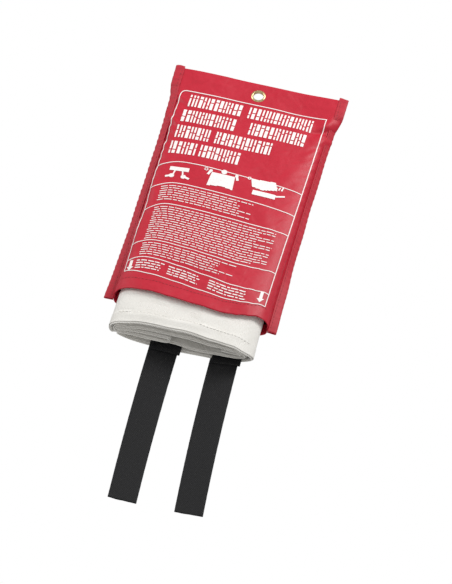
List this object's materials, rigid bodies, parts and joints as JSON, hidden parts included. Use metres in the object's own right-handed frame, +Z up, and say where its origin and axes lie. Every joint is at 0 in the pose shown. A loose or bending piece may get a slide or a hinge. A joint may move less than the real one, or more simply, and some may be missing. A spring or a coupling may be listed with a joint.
{
  "type": "fire blanket in hanging pouch",
  "caption": "Folded white fire blanket sliding out of a flat red hanging pouch with a brass eyelet, with black webbing pull straps hanging below it.",
  "frame": {"origin": "centre of the hanging eyelet, on the plane where the pouch's two halves meet", "axes": "+X to the right seen from the front, +Y towards the wall it hangs on, +Z up"},
  "size_m": [0.18, 0.045, 0.5435],
  "materials": {
    "pouch_cloth": "satin",
    "binding_tape": "matte",
    "red_thread": "matte",
    "eyelet_brass": "polished",
    "glass_cloth": "matte",
    "white_thread": "matte",
    "black_webbing": "matte",
    "black_thread": "matte"
  },
  "bodies": {
    "pouch": {"front_panel": "pouch_cloth", "back_panel": "pouch_cloth", "left_edge_binding": "binding_tape", "right_edge_binding": "binding_tape", "left_binding_stitching": "red_thread", "right_binding_stitching": "red_thread", "front_mouth_stitching": "red_thread", "back_mouth_stitching": "red_thread", "eyelet_barrel": "eyelet_brass", "eyelet_washer": "eyelet_brass"},
    "blanket": {"folded_blanket": "glass_cloth", "blanket_hem_stitching": "white_thread", "left_strap_sewn_end": "black_webbing", "left_strap_box_stitching": "black_thread", "right_strap_sewn_end": "black_webbing", "right_strap_box_stitching": "black_thread"},
    "left_strap": {"left_strap": "black_webbing"},
    "right_strap": {"right_strap": "black_webbing"}
  },
  "joints": [
    {"name": "blanket_slide", "type": "slide", "parent": "pouch", "child": "blanket", "axis": [0, 0, 1], "range_m": [-0.22, 0.036]},
    {"name": "left_strap_swing", "type": "hinge", "parent": "blanket", "child": "left_strap", "pos_m": [-0.017, 0.0084, -0.329], "axis": [1, 0, 0], "range_deg": [-85, 80]},
    {"name": "right_strap_swing", "type": "hinge", "parent": "blanket", "child": "right_strap", "pos_m": [0.046, 0.0082, -0.329], "axis": [1, 0, 0], "range_deg": [-85, 80]}
  ]
}
